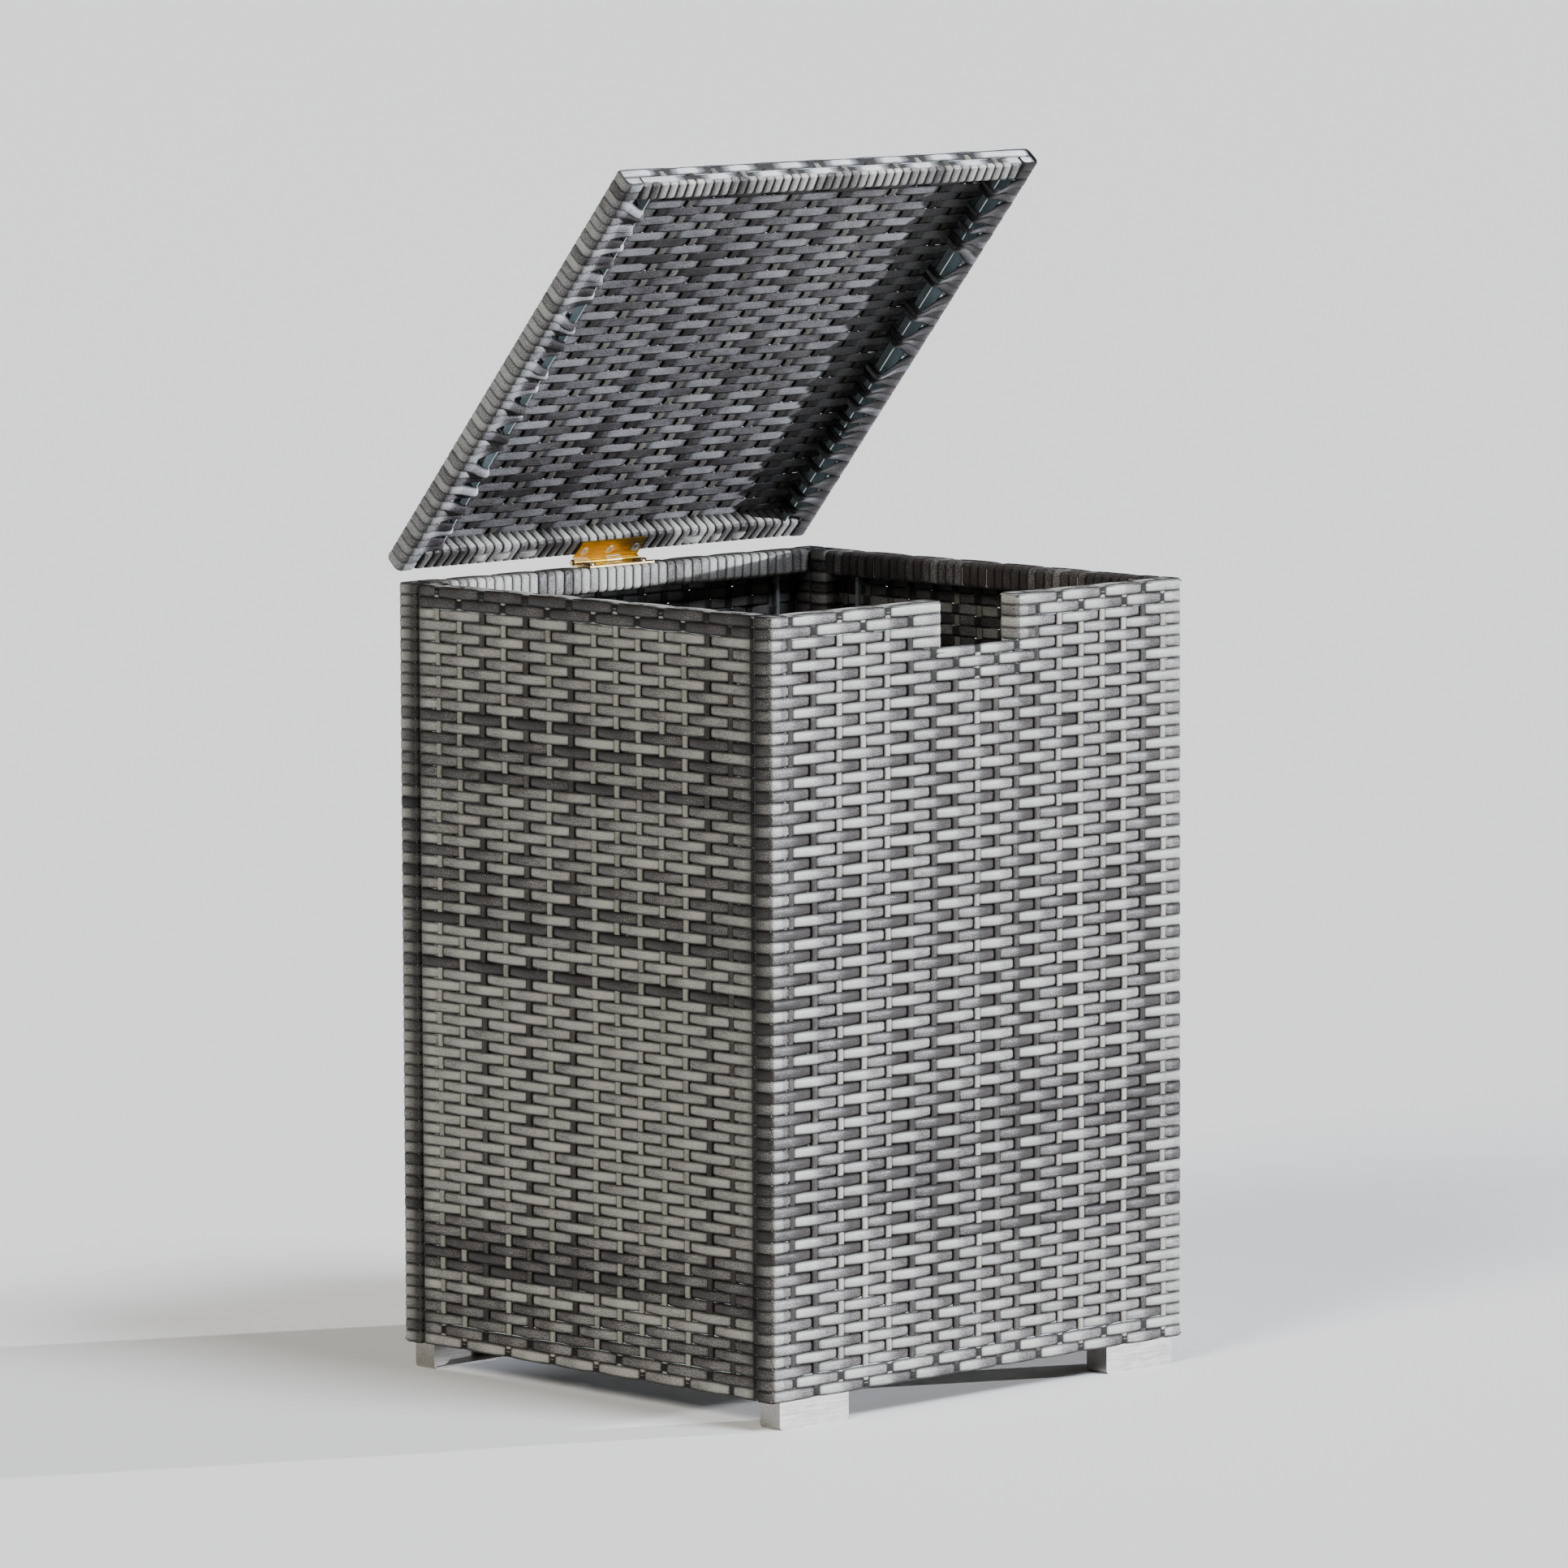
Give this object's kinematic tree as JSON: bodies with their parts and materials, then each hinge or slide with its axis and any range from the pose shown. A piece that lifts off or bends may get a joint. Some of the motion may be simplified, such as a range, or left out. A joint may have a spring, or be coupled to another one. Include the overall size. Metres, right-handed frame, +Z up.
{
  "type": "propane tank cover table",
  "caption": "Woven patio box that stands over a gas cylinder, with a hinged lid that is its table top and a hand notch in the front panel.",
  "frame": {"origin": "on the floor under the middle of the closed table, between the front panel's outer face and the back of the hinge, and midway between the ends of the front panel", "axes": "+Z up, +X to the right along the front panel, +Y from the front panel to the hinge at the back"},
  "size_m": [0.4, 0.3869, 0.8471],
  "materials": {
    "strand": "flat woven strand, mottled grey with darker streaks",
    "lid_strand": "flat woven strand, mottled grey with darker streaks",
    "frame_paint": "grey powder coat",
    "hinge_plate": "yellow zinc plating, satin",
    "foot_metal": "light grey powder coat"
  },
  "bodies": {
    "box": {"front_frame": "frame_paint", "front_rim_wrap": "strand", "front_woven_sheet": "strand", "front_stiffener_rods": "frame_paint", "back_frame": "frame_paint", "back_rim_wrap": "strand", "back_woven_sheet": "strand", "back_stiffener_rods": "frame_paint", "left_frame": "frame_paint", "left_rim_wrap": "strand", "left_woven_sheet": "strand", "left_stiffener_rods": "frame_paint", "right_frame": "frame_paint", "right_rim_wrap": "strand", "right_woven_sheet": "strand", "right_stiffener_rods": "frame_paint", "hinge_lower_leaf": "hinge_plate", "hinge_pin": "hinge_plate", "foot_front_left": "foot_metal", "foot_front_right": "foot_metal", "foot_back_left": "foot_metal", "foot_back_right": "foot_metal"},
    "lid": {"lid_frame": "frame_paint", "lid_woven_sheet": "lid_strand", "lid_hinge_rail_wrap": "lid_strand", "lid_free_rail_wrap": "lid_strand", "lid_left_rail_wrap": "lid_strand", "lid_right_rail_wrap": "lid_strand", "hinge_upper_leaf": "hinge_plate"}
  },
  "joints": [
    {"name": "lid_hinge", "type": "hinge", "parent": "box", "child": "lid", "pos_m": [0, 0.1868, 0.5555], "axis": [-1, 0, 0], "range_deg": [-50, 141]}
  ]
}
